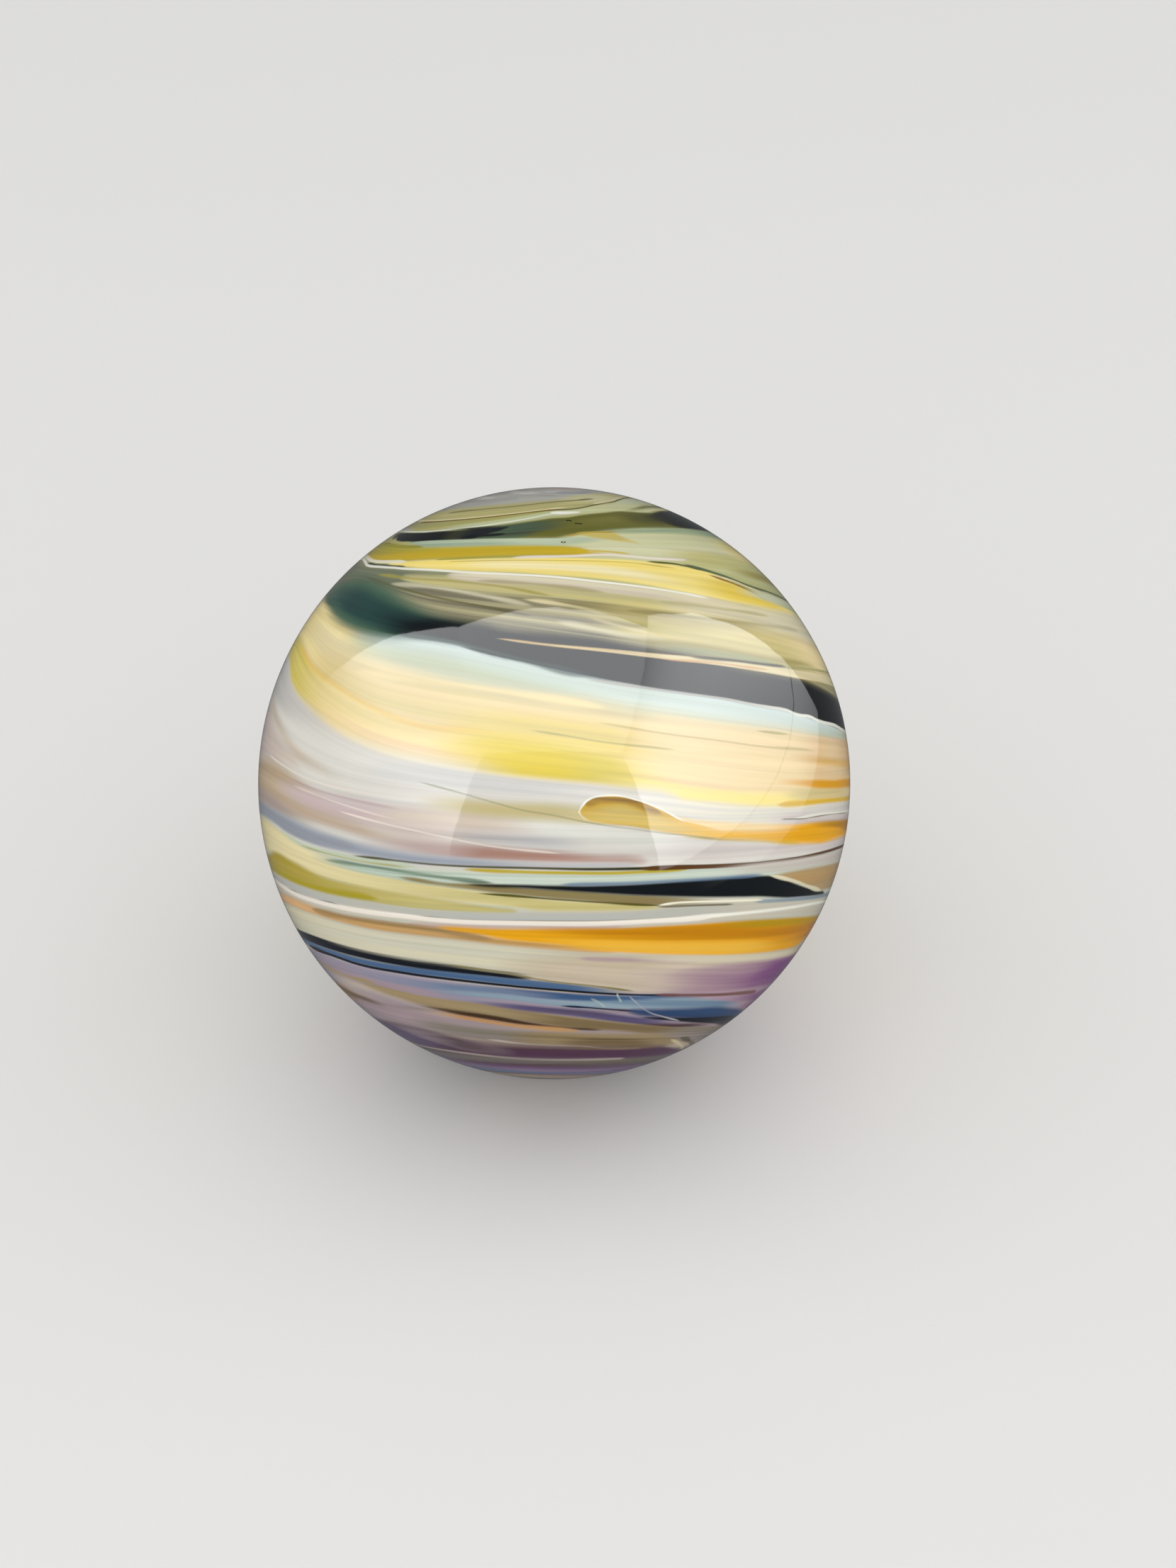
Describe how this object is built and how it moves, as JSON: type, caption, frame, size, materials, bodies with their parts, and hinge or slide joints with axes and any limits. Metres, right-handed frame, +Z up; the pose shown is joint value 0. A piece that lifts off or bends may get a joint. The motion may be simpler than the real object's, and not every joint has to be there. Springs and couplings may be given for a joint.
{
  "type": "glass marble",
  "caption": "Solid round glass marble with flowing bands of opaque coloured glass, held in a ring or cup stand.",
  "frame": {"origin": "the ball's centre", "axes": "+Z up as the marble sits in a ring stand, -Y towards the side with the widest yellow band, +X to the right seen from that side"},
  "size_m": [0.025, 0.025, 0.025],
  "materials": {
    "swirl_glass": "fire-polished gloss over opaque streaked glass in cream, yellow, amber, black-green, blue and lilac"
  },
  "bodies": {
    "root": {"marble": "swirl_glass"}
  },
  "joints": []
}
